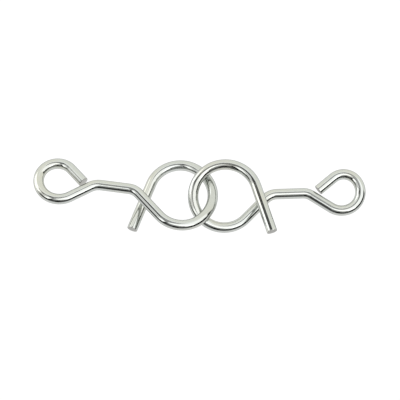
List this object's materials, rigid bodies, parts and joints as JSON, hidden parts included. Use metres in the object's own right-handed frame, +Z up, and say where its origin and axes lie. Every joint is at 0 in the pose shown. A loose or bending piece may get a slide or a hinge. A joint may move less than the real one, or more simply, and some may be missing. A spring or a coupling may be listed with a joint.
{
  "type": "wire disentanglement puzzle",
  "caption": "Wire disentanglement puzzle: linked pigtail links of bent plated wire, each with a finger eye, neck, crossed loop and straight tail, taken apart by hand.",
  "frame": {"origin": "middle of the puzzle's footprint, on the surface that it lies on", "axes": "+X along the puzzle from the left eye to the right eye, +Y across it towards the backs of the loops, +Z up"},
  "size_m": [0.0951, 0.0241, 0.0098],
  "materials": {
    "left_plating": "bright zinc plating over cold-bent steel wire, mirror-like with fine drawing lines along the wire",
    "right_plating": "bright zinc plating over cold-bent steel wire, mirror-like with fine drawing lines along the wire"
  },
  "bodies": {
    "left_link": {"left_link": "left_plating"},
    "right_link": {"right_link": "right_plating"}
  },
  "joints": [
    {"name": "link_twist", "type": "hinge", "parent": "left_link", "child": "right_link", "pos_m": [0.0013, 0.0001, 0.0047], "axis": [1, 0, 0], "range_deg": [0, 120]}
  ]
}
